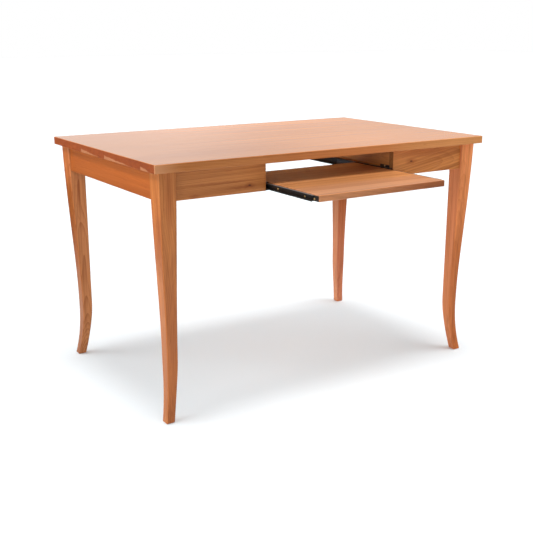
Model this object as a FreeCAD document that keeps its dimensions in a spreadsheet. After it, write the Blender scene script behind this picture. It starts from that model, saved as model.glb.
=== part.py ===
import FreeCAD, Part
import collections
import math
import os
import re
import Sketcher

# Writing desk in solid cherry with a pull-out keyboard tray on ball-bearing slides.
# Millimetres. The origin is on the floor under the middle of the top. +X is the sitter's right,
# -Y is the front, +Z is up. The tray stands drawn out.

SIZES = {
    # Top
    "desk_height": 762.0,
    "top_width": 1219.2,
    "top_depth": 762.0,
    "top_thickness": 24.4,
    "top_corner_radius": 3.0,
    "top_edge_radius": 2.4,
    "top_lower_edge_radius": 1.2,
    # Legs, with insets measured from the outer face of the square blank
    "top_overhang": 19.0,
    "leg_square": 56.0,
    "crown_length": 217.6,
    "crown_inset": 7.9,
    "hollow_length": 184.0,
    "ankle_height": 160.0,
    "ankle_inset": 21.2,
    "knee_height": 192.0,
    "knee_inset": 3.6,
    "knee_end_height": 126.0,
    "foot_inset": 5.3,
    "foot_width": 27.5,
    "leg_edge_chamfer": 2.2,
    "foot_chamfer": 3.0,
    # Aprons and partitions
    "apron_height": 84.0,
    "apron_thickness": 20.0,
    "apron_setback": 8.0,
    "apron_edge_radius": 1.5,
    "opening_width": 483.0,
    "partition_thickness": 19.0,
    "tenon_length": 26.0,
    "tenon_thickness": 8.0,
    "tenon_shoulder": 14.0,
    "stub_tenon_length": 10.0,
    "joint_gap": 0.1,
    # Glue blocks behind the front aprons
    "block_side": 26.0,
    "block_height": 56.0,
    "block_chamfer": 6.0,
    # Wooden buttons under the top
    "groove_drop": 13.0,
    "groove_width": 8.0,
    "groove_depth": 9.0,
    "groove_stop": 40.0,
    "button_tongue": 7.5,
    "button_length": 34.0,
    "button_width": 38.0,
    "button_gap": 0.8,
    "side_button_offset": 170.0,
    "back_button_offset": 400.0,
    "front_button_offset": 390.0,
    # Screws
    "screw_radius": 1.9,
    "screw_head_radius": 3.7,
    "screw_head_height": 2.2,
    "screw_bite": 14.0,
    "screw_gap": 0.1,
    "sunk_head_height": 1.9,
    # Tray
    "tray_depth": 428.0,
    "tray_thickness": 19.0,
    "tray_edge_radius": 1.6,
    "tray_drawn_out": 247.0,
    "tray_travel": 300.0,
    "tray_rise": 1.2,
    # Slides
    "slide_rise": 12.9,
    "slide_setback": 2.0,
    "slide_length": 457.0,
    "slide_thickness": 12.7,
    "channel_height": 24.4,
    "channel_clearance": 2.3,
    "channel_lip": 1.4,
    "slide_metal": 1.2,
    "ear_start": 15.0,
    "ear_length": 45.0,
    "ear_height": 7.5,
    "ear_corner_radius": 2.5,
    "channel_middle_screw": 210.0,
    "channel_end_screw": 40.0,
    "runner_setback": 3.0,
    "runner_lip": 1.0,
    "runner_nose": 20.0,
    "runner_screw_drop": 2.0,
    "runner_front_screw": 21.5,
    "runner_second_screw": 66.0,
    "runner_third_screw": 199.5,
    "runner_back_screw": 395.0,
    "ball_diameter": 3.0,
    "ball_clearance": 0.1,
    "ball_count": 4.0,
    "ball_end": 12.0,
    "cage_metal": 0.5,
    "cage_room": 1.2,
    "cage_gap": 0.5,
    "cage_length": 230.0,
    "cage_stop": 33.0,
}

# Places worked out from the sizes
UNDERSIDE = "(desk_height - top_thickness)"
APRON_BOTTOM = f"({UNDERSIDE} - apron_height)"
CROWN_END = f"({UNDERSIDE} - crown_length)"
TAPER_END = "(ankle_height + hollow_length)"
LEG_X = "(top_width / 2 - top_overhang)"
LEG_Y = "(top_depth / 2 - top_overhang)"
SIDE_FACE = f"({LEG_X} - apron_setback)"
SIDE_BACK = f"({SIDE_FACE} - apron_thickness)"
FRONT_FACE = f"({LEG_Y} - apron_setback)"
FRONT_BACK = f"({FRONT_FACE} - apron_thickness)"
OPENING = "(opening_width / 2)"
TENON_BOTTOM = f"({APRON_BOTTOM} + tenon_shoulder)"
TENON_HEIGHT = "(apron_height - 2 * tenon_shoulder)"
TENON_SIDE = "((apron_thickness - tenon_thickness) / 2)"
BUTTON_DROP = "(groove_drop + groove_width - joint_gap)"
BUTTON_REACH = "(button_length / 2)"
SLIDE_Z = f"({APRON_BOTTOM} + slide_rise)"
CHANNEL_FRONT = f"(-{FRONT_FACE} + slide_setback)"
TRAY_FRONT = f"(-{FRONT_FACE} - tray_drawn_out)"
TRAY_HALF = f"({OPENING} - slide_thickness)"

# Slide section: the way in from the partition, and the height from the slide's middle
CHANNEL_HALF = "(channel_height / 2)"
CHANNEL_DEPTH = "(slide_thickness - channel_clearance)"
RACE = "(ball_diameter + 2 * ball_clearance)"
RUNNER_HALF = f"({CHANNEL_HALF} - slide_metal - {RACE})"
RUNNER_END = "(slide_metal + cage_room)"
BALL_HEIGHT = f"({CHANNEL_HALF} - slide_metal - {RACE} / 2)"
BALL_DEPTH = f"(({RUNNER_END} + {CHANNEL_DEPTH}) / 2)"
CAGE_FRONT = f"({CHANNEL_FRONT} + cage_stop + (tray_travel - tray_drawn_out) / 2)"

X_AXIS = FreeCAD.Vector(1, 0, 0)
Y_AXIS = FreeCAD.Vector(0, 1, 0)
Z_AXIS = FreeCAD.Vector(0, 0, 1)

doc = FreeCAD.newDocument("WritingDesk")
sheet = doc.addObject("Spreadsheet::Sheet", "Sizes")
for row, (size_name, size) in enumerate(SIZES.items(), start=1):
    sheet.set(f"A{row}", size_name)
    sheet.set(f"B{row}", str(size))
    sheet.setAlias(f"B{row}", size_name)
doc.recompute()


def sized(formula):
    """A formula with each size's name written as its cell in the sheet."""
    def cell(word):
        return f"Sizes.{word.group()}" if word.group() in SIZES else word.group()

    return re.sub(r"[a-z_]{3,}", cell, formula)


def number(formula):
    return float(sheet.evalExpression(sized(formula)))


def bind(thing, **formulas):
    for name, formula in formulas.items():
        thing.setExpression(name, sized(formula))


def place(thing, x="0", y="0", z="0", turn=None):
    """Puts a piece where three formulas say, turned first if need be."""
    thing.Placement = FreeCAD.Placement(FreeCAD.Vector(), turn or FreeCAD.Rotation())
    for letter, formula in zip("xyz", (x, y, z)):
        thing.setExpression(f"Placement.Base.{letter}", sized(formula))
    return thing


def new_body(name):
    return doc.addObject("PartDesign::Body", name)


def new_sketch(body, plane, offset="0"):
    """A sketch on one of the body's own planes, set off along that plane's normal."""
    sketch = body.newObject("Sketcher::SketchObject", f"{body.Name}_outline")
    support = next(feature for feature in body.Origin.OriginFeatures if feature.Role == plane)
    sketch.AttachmentSupport = [(support, "")]
    sketch.MapMode = "FlatFace"
    sketch.setExpression("AttachmentOffset.Base.z", sized(offset))
    return sketch


def hold(sketch, kind, element, end, formula):
    """A sketch point's distance from the sketch's origin, bound to a formula."""
    index = sketch.addConstraint(Sketcher.Constraint(kind, -1, 1, element, end, number(formula)))
    sketch.setExpression(f"Constraints[{index}]", sized(formula))


def polygon(sketch, corners):
    """A closed outline of straight lines through corners given as formulas."""
    points = [FreeCAD.Vector(number(across), number(along), 0) for across, along in corners]
    count = len(points)
    for index in range(count):
        sketch.addGeometry(Part.LineSegment(points[index], points[(index + 1) % count]))
    for index, (across, along) in enumerate(corners):
        sketch.addConstraint(Sketcher.Constraint("Coincident", index, 2, (index + 1) % count, 1))
        hold(sketch, "DistanceX", index, 1, across)
        hold(sketch, "DistanceY", index, 1, along)


def rectangle(sketch, left, bottom, right, top):
    polygon(sketch, [(left, bottom), (right, bottom), (right, top), (left, top)])


def extrude(body, sketch, length, kind="Pad", reverse=False):
    """Pads or pockets a sketch and stops if a pocket took nothing away."""
    before = body.Shape.Volume if kind == "Pocket" else 0
    feature = body.newObject(f"PartDesign::{kind}", f"{body.Name}_{kind.lower()}")
    feature.Profile = sketch
    feature.Reversed = reverse
    bind(feature, Length=length)
    doc.recompute()
    if kind == "Pocket" and body.Shape.Volume > before - 1e-3:
        raise RuntimeError(f"{feature.Name} cuts nothing")
    return feature


def dress(body, kind, size, test):
    """Fillets or chamfers the edges of the body's last feature that pass a test."""
    base = body.Tip
    names = [f"Edge{index}" for index, edge in enumerate(base.Shape.Edges, start=1) if test(edge)]
    feature = body.newObject(f"PartDesign::{kind}", f"{body.Name}_{kind.lower()}")
    feature.Base = (base, names)
    bind(feature, **{"Radius" if kind == "Fillet" else "Size": size})
    doc.recompute()
    return feature


def lies_at(edge, letter, formula):
    """Whether an edge lies wholly in one plane of the body's own frame."""
    level = number(formula)
    low = getattr(edge.BoundBox, f"{letter}Min")
    high = getattr(edge.BoundBox, f"{letter}Max")
    return abs(low - level) < 0.01 and abs(high - level) < 0.01


def runs_along(edge, letter):
    """Whether an edge is a straight line along one axis."""
    spans = {axis: getattr(edge.BoundBox, f"{axis}Length") for axis in "XYZ"}
    return all(spans[axis] < 0.01 for axis in "XYZ" if axis != letter)


def mirror(label, source, normal):
    image = doc.addObject("Part::Mirroring", label)
    image.Label = label
    image.Source = source
    image.Normal = normal
    return image


def copies(label, template, places):
    """A group of like solids: links to one template, each at its own place."""
    links = []
    for index, (x, y, z, turn) in enumerate(places, start=1):
        link = doc.addObject("App::Link", f"{label}_{index}")
        link.LinkedObject = template
        links.append(place(link, x, y, z, turn))
    group = doc.addObject("Part::Compound", label)
    group.Label = label
    group.Links = links
    return group


def cut(label, base, tools):
    """The base with every tool's shape taken out of it."""
    piece = base
    for index, tool in enumerate(tools, start=1):
        last = index == len(tools)
        step = doc.addObject("Part::Cut", label if last else f"{label}_cut_{index}")
        step.Base = piece
        step.Tool = tool
        piece = step
    piece.Label = label
    return piece


def octagon(sketch, radius):
    """An eight-sided outline: fasteners and their holes have eight sides, to stay light."""
    angles = [math.radians(22.5 + 45 * index) for index in range(8)]
    polygon(sketch, [(f"({radius}) * {math.cos(angle):.6f}", f"({radius}) * {math.sin(angle):.6f}")
                     for angle in angles])


def pan_screw(name, length, gap="0"):
    """A pan-headed screw, seated at z = 0 with its tip down, or the hole for it."""
    body = new_body(name)
    head = new_sketch(body, "XY_Plane")
    octagon(head, f"screw_head_radius + {gap}")
    extrude(body, head, "screw_head_height")
    shank = new_sketch(body, "XY_Plane")
    octagon(shank, f"screw_radius + {gap}")
    extrude(body, shank, f"{length} + {gap}", reverse=True)
    return body


def sunk_screw(name, length, gap="0"):
    """A countersunk screw, flush at z = 0 with its tip down, or the hole for it."""
    body = new_body(name)
    head = new_sketch(body, "XY_Plane")
    octagon(head, f"screw_head_radius + {gap}")
    cone = extrude(body, head, "sunk_head_height", reverse=True)
    bind(cone, TaperAngle="-atan((screw_head_radius - screw_radius) / sunk_head_height)")
    shank = new_sketch(body, "XY_Plane")
    octagon(shank, f"screw_radius + {gap}")
    extrude(body, shank, f"{length} + {gap}", reverse=True)
    return body


def towards(x, y, z):
    """The turn that points a screw's head this way."""
    return FreeCAD.Rotation(Z_AXIS, FreeCAD.Vector(x, y, z))


Run = collections.namedtuple("Run", "start end middle")


def arc(sketch, centre, start, end):
    """The shorter arc from start to end. Sketch arcs run anticlockwise, so its ends may be swapped."""
    angles = [math.atan2(point[1] - centre[1], point[0] - centre[0]) for point in (start, end)]
    turn = math.remainder(angles[1] - angles[0], 2 * math.pi)
    first = angles[0] if turn > 0 else angles[1]
    circle = Part.Circle(FreeCAD.Vector(*centre, 0), Z_AXIS, math.dist(centre, start))
    element = sketch.addGeometry(Part.ArcOfCircle(circle, first, first + abs(turn)))
    return Run((element, 1 if turn > 0 else 2), (element, 2 if turn > 0 else 1), (element, 3))


def line(sketch, start, end):
    element = sketch.addGeometry(Part.LineSegment(FreeCAD.Vector(*start, 0), FreeCAD.Vector(*end, 0)))
    return Run((element, 1), (element, 2), None)


def centre_through(point, lean, other):
    """The centre of the arc through two points that has a given lean from the plumb line at the first."""
    normal = (math.cos(lean), math.sin(lean))
    across = other[0] - point[0]
    along = other[1] - point[1]
    radius = (across ** 2 + along ** 2) / (2 * (across * normal[0] + along * normal[1]))
    return (point[0] + radius * normal[0], point[1] + radius * normal[1])


def leg_outline(sketch):
    """One sawn face of the leg: inward from the blank's outer face, and up from the floor."""
    crown_top = (0.0, number(UNDERSIDE))
    crown_end = (number("crown_inset"), number(CROWN_END))
    ankle = (number("ankle_inset"), number("ankle_height"))
    foot_out = (number("foot_inset"), 0.0)
    foot_in = (number("foot_inset + foot_width"), 0.0)
    knee_top = (number("leg_square"), number("knee_height"))
    knee_end = (number("leg_square - knee_inset"), number("knee_end_height"))
    post_top = (number("leg_square"), number(UNDERSIDE))
    straight = crown_end[1] - number(TAPER_END)
    lean = math.atan((ankle[0] - crown_end[0]) / (straight + number("hollow_length / 2")))
    taper_end = (crown_end[0] + straight * math.tan(lean), number(TAPER_END))
    knee_centre = centre_through(knee_top, math.pi, knee_end)
    knee_lean = math.atan2(knee_centre[1] - knee_end[1], knee_centre[0] - knee_end[0])

    crown = arc(sketch, centre_through(crown_end, lean, crown_top), crown_top, crown_end)
    taper = line(sketch, crown_end, taper_end)
    hollow = arc(sketch, centre_through(ankle, math.pi, taper_end), taper_end, ankle)
    flare = arc(sketch, centre_through(ankle, math.pi, foot_out), ankle, foot_out)
    sole = line(sketch, foot_out, foot_in)
    heel = arc(sketch, centre_through(knee_end, knee_lean, foot_in), foot_in, knee_end)
    knee = arc(sketch, knee_centre, knee_end, knee_top)
    post = line(sketch, knee_top, post_top)
    top = line(sketch, post_top, crown_top)

    joints = [("Tangent", crown.end, taper.start), ("Tangent", taper.end, hollow.start),
              ("Coincident", hollow.end, flare.start), ("Coincident", flare.end, sole.start),
              ("Coincident", sole.end, heel.start), ("Tangent", heel.end, knee.start),
              ("Coincident", knee.end, post.start), ("Coincident", post.end, top.start),
              ("Coincident", top.end, crown.start), ("Horizontal", hollow.middle, hollow.end),
              ("Horizontal", flare.middle, flare.start), ("Horizontal", knee.middle, knee.end)]
    for kind, one, other in joints:
        sketch.addConstraint(Sketcher.Constraint(kind, *one, *other))
    fixed = [(crown.start, "0", UNDERSIDE), (taper.start, "crown_inset", CROWN_END),
             (hollow.end, "ankle_inset", "ankle_height"), (sole.start, "foot_inset", "0"),
             (sole.end, "foot_inset + foot_width", "0"), (post.start, "leg_square", "knee_height"),
             (knee.start, "leg_square - knee_inset", "knee_end_height"), (post.end, "leg_square", UNDERSIDE)]
    for point, across, along in fixed:
        hold(sketch, "DistanceX", *point, across)
        hold(sketch, "DistanceY", *point, along)
    hold(sketch, "DistanceY", *taper.end, TAPER_END)


def make_leg(label):
    """The front left leg: one blank sawn to the same outline in two planes, then mortised twice."""
    side_sawn = new_body("side_sawn_blank")
    outline = new_sketch(side_sawn, "YZ_Plane")
    leg_outline(outline)
    extrude(side_sawn, outline, "leg_square")
    body = new_body(label)
    outline = new_sketch(body, "XZ_Plane")
    leg_outline(outline)
    extrude(body, outline, "leg_square", reverse=True)
    both = body.newObject("PartDesign::Boolean", "sawn_both_ways")
    both.setObjects([side_sawn])
    both.Type = "Common"
    doc.recompute()
    dress(body, "Chamfer", "leg_edge_chamfer", lambda edge: edge.BoundBox.ZLength > 0.01)
    dress(body, "Chamfer", "foot_chamfer", lambda edge: lies_at(edge, "Z", "0"))
    near = f"apron_setback + {TENON_SIDE} - joint_gap"
    far = f"apron_setback + {TENON_SIDE} + tenon_thickness + joint_gap"
    low = f"{TENON_BOTTOM} - joint_gap"
    high = f"{TENON_BOTTOM} + {TENON_HEIGHT} + joint_gap"
    for plane, offset, reverse in (("YZ_Plane", "leg_square", False), ("XZ_Plane", "-leg_square", True)):
        mortise = new_sketch(body, plane, offset)
        rectangle(mortise, near, low, far, high)
        extrude(body, mortise, "tenon_length + joint_gap", "Pocket", reverse)
    return place(body, f"-{LEG_X}", f"-{LEG_Y}")


def make_rail(label, length, left_tenon, right_tenon):
    """An apron lying along its own X axis, outer face at y = 0, with its tenons and button groove.

    The groove stops short of an end that has no tenon, because that end is in sight.
    """
    body = new_body(label)
    face = new_sketch(body, "XZ_Plane")
    rectangle(face, "0", "0", length, "apron_height")
    extrude(body, face, "apron_thickness", reverse=True)
    dress(body, "Fillet", "apron_edge_radius",
          lambda edge: runs_along(edge, "X") and lies_at(edge, "Z", "0"))
    ends = [(f"-{left_tenon}", "0")] if left_tenon else []
    ends += [(length, f"{length} + {right_tenon}")] if right_tenon else []
    for near, far in ends:
        tenon = new_sketch(body, "XZ_Plane", f"-{TENON_SIDE}")
        rectangle(tenon, near, "tenon_shoulder", far, f"tenon_shoulder + {TENON_HEIGHT}")
        extrude(body, tenon, "tenon_thickness", reverse=True)
    groove = new_sketch(body, "XZ_Plane", "-apron_thickness")
    groove_start = "0" if left_tenon else "groove_stop"
    groove_end = length if right_tenon else f"{length} - groove_stop"
    rectangle(groove, groove_start, "apron_height - groove_drop - groove_width", groove_end,
              "apron_height - groove_drop")
    extrude(body, groove, "groove_depth", "Pocket", reverse=True)
    return body


def make_desktop(name):
    """The top, its lower face at z = 0 and its middle at the origin."""
    body = new_body(name)
    outline = new_sketch(body, "XY_Plane")
    rectangle(outline, "-top_width / 2", "-top_depth / 2", "top_width / 2", "top_depth / 2")
    extrude(body, outline, "top_thickness")
    dress(body, "Fillet", "top_corner_radius", lambda edge: runs_along(edge, "Z"))
    dress(body, "Fillet", "top_edge_radius", lambda edge: lies_at(edge, "Z", "top_thickness"))
    dress(body, "Fillet", "top_lower_edge_radius", lambda edge: lies_at(edge, "Z", "0"))
    return place(body, z=UNDERSIDE)


def make_button(name):
    """A wooden button: its block under the top, its tongue in an apron's groove at x below 0."""
    body = new_body(name)
    outline = new_sketch(body, "XZ_Plane")
    tongue_top = "-(groove_drop + joint_gap)"
    polygon(outline, [("button_gap", "0"), ("button_length", "0"), ("button_length", f"-{BUTTON_DROP}"),
                      ("-button_tongue", f"-{BUTTON_DROP}"), ("-button_tongue", tongue_top),
                      ("button_gap", tongue_top)])
    block = extrude(body, outline, "button_width")
    block.Midplane = True
    doc.recompute()
    return body


def make_partition(name):
    """The right partition: a board behind the opening's right end, with a stub tenon at the back."""
    body = new_body(name)
    face = new_sketch(body, "YZ_Plane")
    rectangle(face, f"-{FRONT_BACK}", "0", FRONT_BACK, "apron_height")
    extrude(body, face, "partition_thickness")
    stub_side = "(partition_thickness - tenon_thickness) / 2"
    stub = new_sketch(body, "YZ_Plane", stub_side)
    rectangle(stub, FRONT_BACK, "tenon_shoulder", f"{FRONT_BACK} + stub_tenon_length",
              f"tenon_shoulder + {TENON_HEIGHT}")
    extrude(body, stub, "tenon_thickness")
    return place(body, OPENING, "0", APRON_BOTTOM)


def make_glue_block(name):
    """The right glue block, in the corner of the front apron's back and the partition's outer face."""
    body = new_body(name)
    foot = new_sketch(body, "XY_Plane")
    rectangle(foot, "0", "0", "block_side", "block_side")
    extrude(body, foot, "block_height")
    dress(body, "Chamfer", "block_chamfer",
          lambda edge: lies_at(edge, "X", "block_side") and lies_at(edge, "Y", "block_side"))
    return place(body, f"{OPENING} + partition_thickness", f"-{FRONT_BACK}",
                 f"{APRON_BOTTOM} + (apron_height - groove_drop - groove_width - block_height) / 2")


def make_channel(name):
    """The right cabinet member: a rolled channel with return lips, open towards the tray, and its ear."""
    body = new_body(name)
    section = new_sketch(body, "XZ_Plane")
    inner = f"({CHANNEL_HALF} - slide_metal)"
    lip_end = f"({inner} - channel_lip)"
    lip_in = f"({CHANNEL_DEPTH} - slide_metal)"
    upper = [("slide_metal", inner), (lip_in, inner), (lip_in, lip_end), (CHANNEL_DEPTH, lip_end),
             (CHANNEL_DEPTH, CHANNEL_HALF), ("0", CHANNEL_HALF)]
    lower = [(across, f"-{along}") for across, along in reversed(upper)]
    polygon(section, [(f"-{across}", along) for across, along in upper + lower])
    extrude(body, section, "slide_length", reverse=True)
    ear = new_sketch(body, "YZ_Plane")
    rectangle(ear, "ear_start", inner, "ear_start + ear_length", f"{CHANNEL_HALF} + ear_height")
    extrude(body, ear, "slide_metal", reverse=True)
    ear_top = f"{CHANNEL_HALF} + ear_height"
    dress(body, "Fillet", "ear_corner_radius",
          lambda edge: runs_along(edge, "X") and abs(edge.BoundBox.ZMin - number(ear_top)) < 0.01)
    return place(body, OPENING, CHANNEL_FRONT, SLIDE_Z)


def make_runner(name):
    """The right drawer member: a smaller channel on the tray's edge, its lips turned out to trap the balls.

    Its front end is a flat nose without flanges.
    """
    body = new_body(name)
    section = new_sketch(body, "XZ_Plane", "-runner_nose")
    web = "(slide_thickness - slide_metal)"
    inner = f"({RUNNER_HALF} - slide_metal)"
    lip_top = f"({RUNNER_HALF} + runner_lip)"
    lip_in = f"({RUNNER_END} + slide_metal)"
    upper = [("slide_thickness", RUNNER_HALF), (lip_in, RUNNER_HALF), (lip_in, lip_top), (RUNNER_END, lip_top),
             (RUNNER_END, inner), (web, inner)]
    lower = [(across, f"-{along}") for across, along in reversed(upper)]
    polygon(section, [(f"-{across}", along) for across, along in upper + lower])
    extrude(body, section, "tray_depth - 2 * runner_setback - runner_nose", reverse=True)
    nose = new_sketch(body, "YZ_Plane", "-slide_thickness")
    rectangle(nose, "0", f"-{RUNNER_HALF}", "runner_nose + slide_metal", RUNNER_HALF)
    extrude(body, nose, "slide_metal")
    return place(body, OPENING, f"{TRAY_FRONT} + runner_setback", SLIDE_Z)


def make_cage(name):
    """The right ball retainer: a thin strip bent round the runner, with a hole for each ball."""
    body = new_body(name)
    section = new_sketch(body, "XZ_Plane")
    web = "(slide_metal + (cage_room - cage_metal) / 2)"
    web_in = f"({web} + cage_metal)"
    tip = f"({CHANNEL_DEPTH} - slide_metal - cage_gap)"
    outer = f"({BALL_HEIGHT} + cage_metal / 2)"
    inner = f"({BALL_HEIGHT} - cage_metal / 2)"
    upper = [(web_in, inner), (tip, inner), (tip, outer), (web, outer)]
    lower = [(across, f"-{along}") for across, along in reversed(upper)]
    polygon(section, [(f"-{across}", along) for across, along in upper + lower])
    extrude(body, section, "cage_length", reverse=True)
    return place(body, OPENING, CAGE_FRONT, SLIDE_Z)


def ball_rows():
    """Each ball's place along its race."""
    count = round(number("ball_count"))
    pitch = f"((cage_length - 2 * ball_end) / {count - 1})"
    return [f"{CAGE_FRONT} + ball_end + {index} * {pitch}" for index in range(count)]


def make_ball(name):
    """A bearing ball, cut from a cube by flats on its edges, to stay light."""
    body = new_body(name)
    face = new_sketch(body, "XY_Plane", "-ball_diameter / 2")
    rectangle(face, "-ball_diameter / 2", "-ball_diameter / 2", "ball_diameter / 2", "ball_diameter / 2")
    extrude(body, face, "ball_diameter")
    dress(body, "Chamfer", "ball_diameter / (2 + sqrt(2))", lambda edge: True)
    return body


def make_tray(name):
    body = new_body(name)
    outline = new_sketch(body, "XY_Plane")
    rectangle(outline, f"-{TRAY_HALF}", "0", TRAY_HALF, "tray_depth")
    extrude(body, outline, "tray_thickness")
    dress(body, "Fillet", "tray_edge_radius", lambda edge: not runs_along(edge, "Z"))
    return place(body, "0", TRAY_FRONT, f"{SLIDE_Z} + tray_rise - tray_thickness / 2")


# Legs
leg_front_left = make_leg("leg_front_left")
leg_front_right = mirror("leg_front_right", leg_front_left, X_AXIS)
leg_back_left = mirror("leg_back_left", leg_front_left, Y_AXIS)
leg_back_right = mirror("leg_back_right", leg_back_left, X_AXIS)

# Buttons and the screws that hold them to the top
half_turn = FreeCAD.Rotation(Z_AXIS, 180)
quarter_turn = FreeCAD.Rotation(Z_AXIS, 90)
back_turn = FreeCAD.Rotation(Z_AXIS, -90)
button_places = []
screw_places = []
for sign in ("", "-"):
    for side, turn in (("", half_turn), ("-", FreeCAD.Rotation())):
        along = f"{sign}side_button_offset"
        button_places.append((f"{side}{SIDE_BACK}", along, UNDERSIDE, turn))
        screw_places.append((f"{side}({SIDE_BACK} - {BUTTON_REACH})", along, "", ""))
for across in ("-back_button_offset", "0", "back_button_offset"):
    button_places.append((across, FRONT_BACK, UNDERSIDE, back_turn))
    screw_places.append((across, f"{FRONT_BACK} - {BUTTON_REACH}", "", ""))
for across in ("-front_button_offset", "front_button_offset"):
    button_places.append((across, f"-{FRONT_BACK}", UNDERSIDE, quarter_turn))
    screw_places.append((across, f"-{FRONT_BACK} + {BUTTON_REACH}", "", ""))
screw_places = [(x, y, f"{UNDERSIDE} - {BUTTON_DROP}", towards(0, 0, -1)) for x, y, z, turn in screw_places]
button_screw_length = f"({BUTTON_DROP} + screw_bite)"
button_screws = copies("button_screws", pan_screw("button_screw", button_screw_length), screw_places)
button_holes = copies("button_holes", pan_screw("button_hole", button_screw_length, "screw_gap"), screw_places)
blank_buttons = copies("blank_buttons", make_button("button"), button_places)
top_buttons = cut("top_buttons", blank_buttons, [button_holes])
desktop = cut("desktop", make_desktop("desktop_board"), [button_holes])

# Glue blocks and their screws, the right one first
block_middle = f"({APRON_BOTTOM} + (apron_height - groove_drop - groove_width) / 2)"
block_edge = f"({OPENING} + partition_thickness)"
block_places = [
    (f"{block_edge} + block_side / 2", f"-{FRONT_BACK} + block_side", f"{block_middle} + block_height / 4",
     towards(0, 1, 0)),
    (f"{block_edge} + block_side", f"-{FRONT_BACK} + block_side / 2", f"{block_middle} - block_height / 4",
     towards(1, 0, 0)),
]
block_screw_length = "(block_side + screw_bite)"
right_block_screws = copies("right_block_screws", pan_screw("block_screw", block_screw_length), block_places)
block_holes = copies("block_holes", pan_screw("block_hole", block_screw_length, "screw_gap"), block_places)
glue_block_right = cut("glue_block_right", make_glue_block("block_blank"), [block_holes])
glue_block_left = mirror("glue_block_left", glue_block_right, X_AXIS)
left_block_screws = mirror("left_block_screws", right_block_screws, X_AXIS)
block_screws = doc.addObject("Part::Compound", "block_screws")
block_screws.Links = [right_block_screws, left_block_screws]

# Slide channels and the screws that hold them to the partitions
channel_face = f"{OPENING} - slide_metal"
channel_screw_length = "(slide_metal + screw_bite)"
ear_screw_height = f"{SLIDE_Z} + {CHANNEL_HALF} + ear_height / 2"
channel_places = [
    (channel_face, f"{CHANNEL_FRONT} + ear_start + ear_length / 2", ear_screw_height, towards(-1, 0, 0)),
    (channel_face, f"{CHANNEL_FRONT} + channel_end_screw", SLIDE_Z, towards(-1, 0, 0)),
    (channel_face, f"{CHANNEL_FRONT} + channel_middle_screw", SLIDE_Z, towards(-1, 0, 0)),
    (channel_face, f"{CHANNEL_FRONT} + slide_length - channel_end_screw", SLIDE_Z, towards(-1, 0, 0)),
]
right_channel_screws = copies("right_channel_screws", sunk_screw("channel_screw", channel_screw_length),
                              channel_places)
channel_holes = copies("channel_holes", sunk_screw("channel_hole", channel_screw_length, "screw_gap"),
                       channel_places)
slide_channel_right = cut("slide_channel_right", make_channel("channel_blank"), [channel_holes])
slide_channel_left = mirror("slide_channel_left", slide_channel_right, X_AXIS)
left_channel_screws = mirror("left_channel_screws", right_channel_screws, X_AXIS)
channel_screws = doc.addObject("Part::Compound", "channel_screws")
channel_screws.Links = [right_channel_screws, left_channel_screws]

# Partitions
partition_right = cut("partition_right", make_partition("partition_blank"), [channel_holes, block_holes])
partition_left = mirror("partition_left", partition_right, X_AXIS)

# Aprons: the sides, the back with the partitions' mortises, and the short front ones
side_length = f"(2 * ({LEG_Y} - leg_square))"
apron_right = place(make_rail("apron_right", side_length, "tenon_length", "tenon_length"), SIDE_FACE,
                    f"-{side_length} / 2", APRON_BOTTOM, quarter_turn)
apron_left = mirror("apron_left", apron_right, X_AXIS)
back_length = f"(2 * ({LEG_X} - leg_square))"
apron_back = make_rail("apron_back", back_length, "tenon_length", "tenon_length")
stub_edge = f"({OPENING} + (partition_thickness - tenon_thickness) / 2)"
for across in (f"{back_length} / 2 + {stub_edge}", f"{back_length} / 2 - {stub_edge} - tenon_thickness"):
    mortise = new_sketch(apron_back, "XZ_Plane", "-apron_thickness")
    rectangle(mortise, f"{across} - joint_gap", "tenon_shoulder - joint_gap",
              f"{across} + tenon_thickness + joint_gap", f"tenon_shoulder + {TENON_HEIGHT} + joint_gap")
    extrude(apron_back, mortise, "stub_tenon_length + joint_gap", "Pocket", reverse=True)
place(apron_back, f"{back_length} / 2", FRONT_FACE, APRON_BOTTOM, half_turn)
front_length = f"({LEG_X} - leg_square - {OPENING})"
front_blank = place(make_rail("front_blank", front_length, "", "tenon_length"), OPENING, f"-{FRONT_FACE}",
                    APRON_BOTTOM)
apron_front_right = cut("apron_front_right", front_blank, [block_holes])
apron_front_left = mirror("apron_front_left", apron_front_right, X_AXIS)

# Ball cages and balls
rows = ball_rows()
ball_x = f"{OPENING} - {BALL_DEPTH}"
hole = new_body("ball_hole")
hole_outline = new_sketch(hole, "XY_Plane")
octagon(hole_outline, "ball_diameter / 2 / cos(22.5) + ball_clearance")
extrude(hole, hole_outline, "channel_height")
cage_holes = copies("cage_holes", hole, [(ball_x, y, f"{SLIDE_Z} - {CHANNEL_HALF}", None) for y in rows])
ball_cage_right = cut("ball_cage_right", make_cage("cage_strip"), [cage_holes])
ball_cage_left = mirror("ball_cage_left", ball_cage_right, X_AXIS)
ball_places = [(ball_x, y, f"{SLIDE_Z} {sign} {BALL_HEIGHT}", None) for y in rows for sign in "+-"]
bearing_balls_right = copies("bearing_balls_right", make_ball("ball"), ball_places)
bearing_balls_left = mirror("bearing_balls_left", bearing_balls_right, X_AXIS)

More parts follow.
